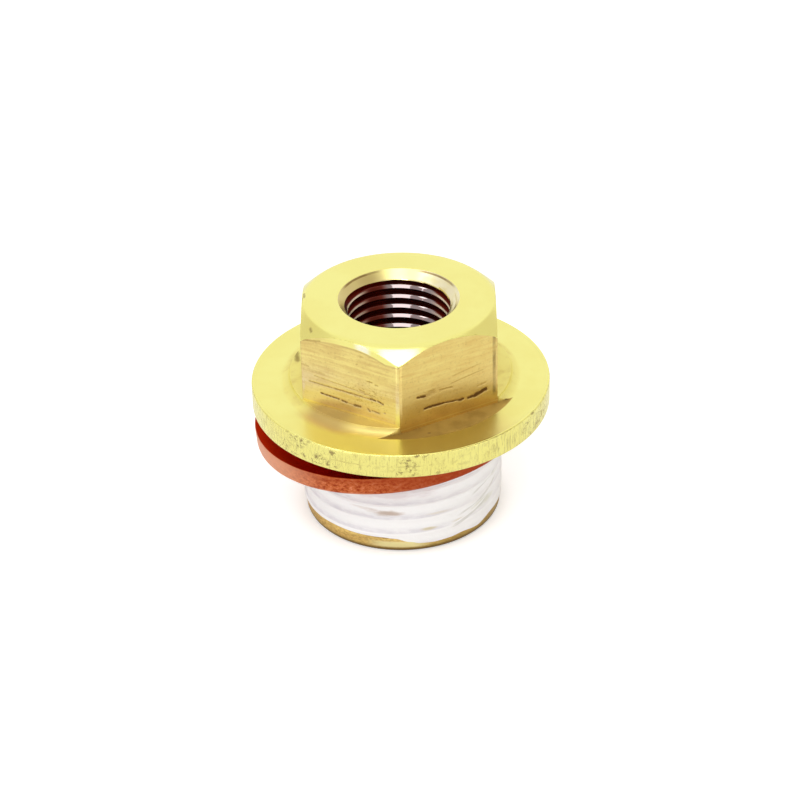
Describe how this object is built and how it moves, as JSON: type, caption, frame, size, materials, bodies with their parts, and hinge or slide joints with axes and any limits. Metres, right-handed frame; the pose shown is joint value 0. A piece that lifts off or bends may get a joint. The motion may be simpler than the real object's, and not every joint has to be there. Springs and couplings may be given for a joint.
{
  "type": "oil galley plug",
  "caption": "Brass screw plug for an oil gallery, with a flanged hexagon head, a tapped port through its middle, a loose copper washer and tape wound on its thread.",
  "frame": {"origin": "centre of the shank's end face, which the plug stands on", "axes": "+Z along the plug's axis, from the shank's end to the head; one corner of the hexagon points to -Y and one flat to +X"},
  "size_m": [0.0266, 0.0266, 0.021],
  "materials": {
    "brass": "turned and milled, bright, lightly scratched",
    "copper": "bare soft copper, lightly tarnished",
    "tape": "thin white fluoropolymer film, slightly see-through"
  },
  "bodies": {
    "root": {"plug_body": "brass", "copper_washer": "copper", "thread_tape": "tape"}
  },
  "joints": []
}
